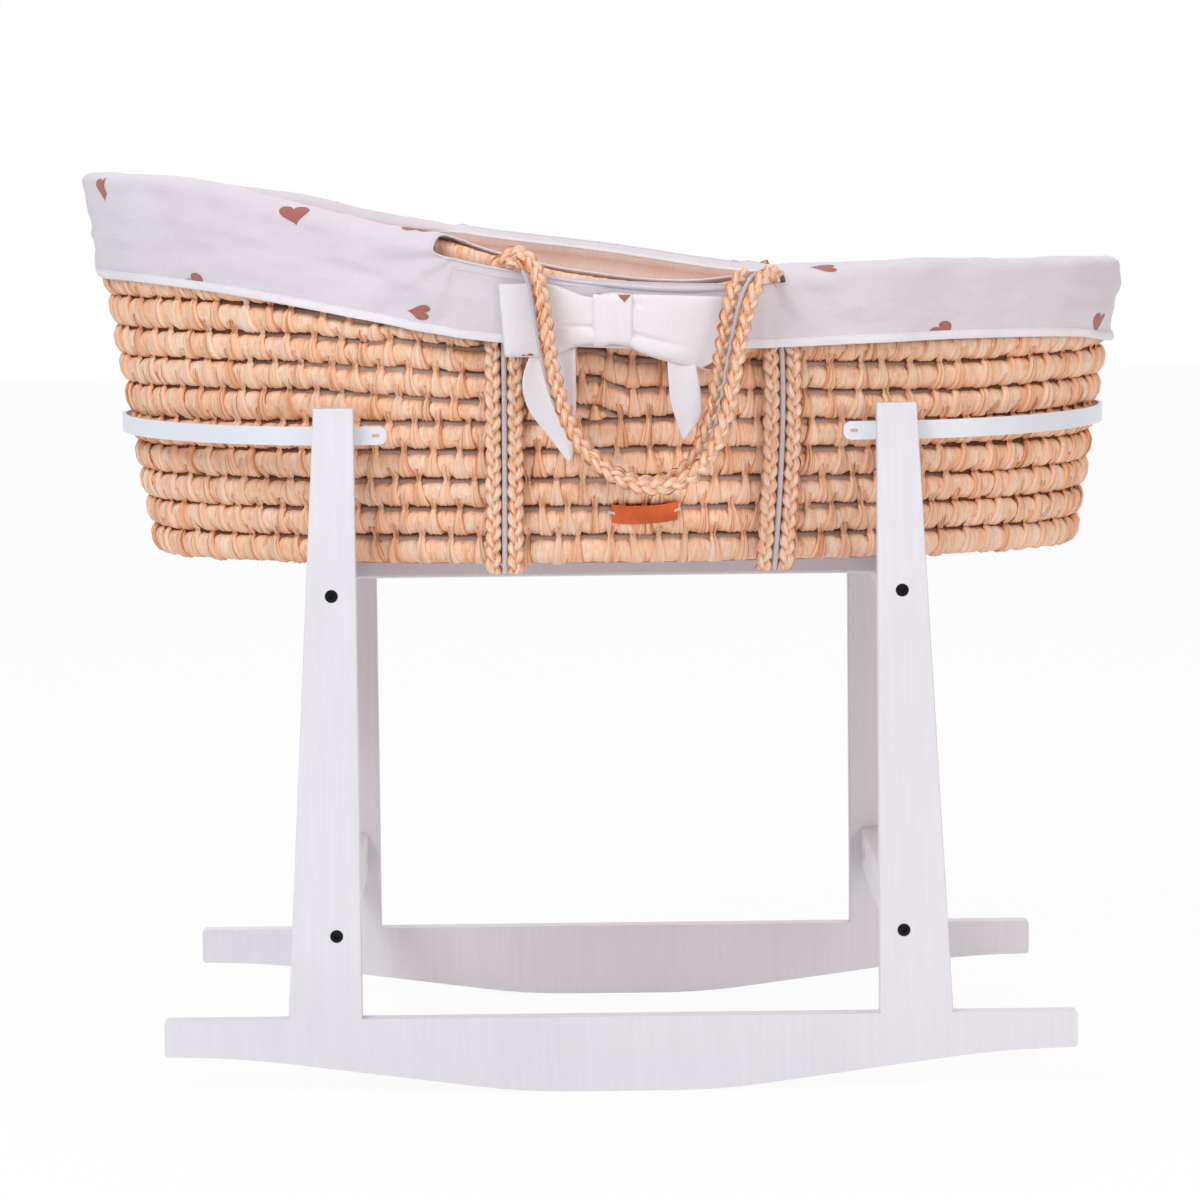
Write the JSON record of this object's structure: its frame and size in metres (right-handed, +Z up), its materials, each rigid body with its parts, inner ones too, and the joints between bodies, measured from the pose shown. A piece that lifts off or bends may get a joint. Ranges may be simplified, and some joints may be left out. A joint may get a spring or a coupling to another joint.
{
  "type": "bassinet on stand",
  "caption": "Coiled straw baby basket with a fabric cover, bow and braided handles, lying loose on a white wooden rocking stand with steel guard hoops.",
  "frame": {"origin": "middle of the whole length and width, on the floor that the two rockers stand on", "axes": "+X runs lengthwise from the head end to the foot end, +Z is up, the front with the bow and tag faces -Y"},
  "size_m": [0.8862, 0.5866, 0.7525],
  "materials": {
    "white_wood": "opaque white lacquer, satin",
    "white_steel": "white powder coat",
    "black_steel": "black oxide",
    "beech": "bare",
    "straw": "dried leaf, coiled and sewn or braided",
    "cover_cotton": "thin woven cotton with scattered small hearts",
    "bow_cotton": "thin woven cotton",
    "mattress_cotton": "woven cotton cover over foam",
    "grey_cord": "twisted cotton cord",
    "leather": "smooth tan leather"
  },
  "bodies": {
    "stand": {"rocker_front": "white_wood", "rocker_rear": "white_wood", "leg_front_head": "white_wood", "leg_front_foot": "white_wood", "leg_rear_head": "white_wood", "leg_rear_foot": "white_wood", "cross_rail_upper_head": "white_wood", "cross_rail_upper_foot": "white_wood", "cross_rail_lower_head": "white_wood", "cross_rail_lower_foot": "white_wood", "stretcher_rail": "white_wood", "leg_bolts": "black_steel", "barrel_nuts": "black_steel", "leg_dowels": "beech", "stretcher_dowels": "beech", "hoop_head": "white_steel", "hoop_foot": "white_steel", "hoop_screws": "black_steel"},
    "basket": {"coiled_wall": "straw", "basket_base": "straw", "liner": "cover_cotton", "cover_skirt": "cover_cotton", "strap_front_head": "straw", "strap_front_foot": "straw", "strap_rear_head": "straw", "strap_rear_foot": "straw", "strap_cord_front_head": "grey_cord", "strap_cord_front_foot": "grey_cord", "strap_cord_rear_head": "grey_cord", "strap_cord_rear_foot": "grey_cord", "leather_tag": "leather", "bow_loop_head": "bow_cotton", "bow_loop_foot": "bow_cotton", "bow_knot": "bow_cotton", "bow_tails": "bow_cotton"},
    "mattress": {"mattress": "mattress_cotton"},
    "handle_front": {"handle_front": "straw", "handle_cord_front": "grey_cord"},
    "handle_rear": {"handle_rear": "straw", "handle_cord_rear": "grey_cord"}
  },
  "joints": [
    {"name": "basket_lift", "type": "slide", "parent": "stand", "child": "basket", "axis": [0, 0, 1], "range_m": [0, 0.2]},
    {"name": "mattress_lift", "type": "slide", "parent": "basket", "child": "mattress", "axis": [0, 0, 1], "range_m": [0, 0.36]},
    {"name": "handle_front_swing", "type": "hinge", "parent": "basket", "child": "handle_front", "pos_m": [0.0265, -0.258, 0.684], "axis": [-1, 0, 0], "range_deg": [0, 180]},
    {"name": "handle_rear_swing", "type": "hinge", "parent": "basket", "child": "handle_rear", "pos_m": [0.0265, 0.258, 0.684], "axis": [1, 0, 0], "range_deg": [0, 180]}
  ]
}
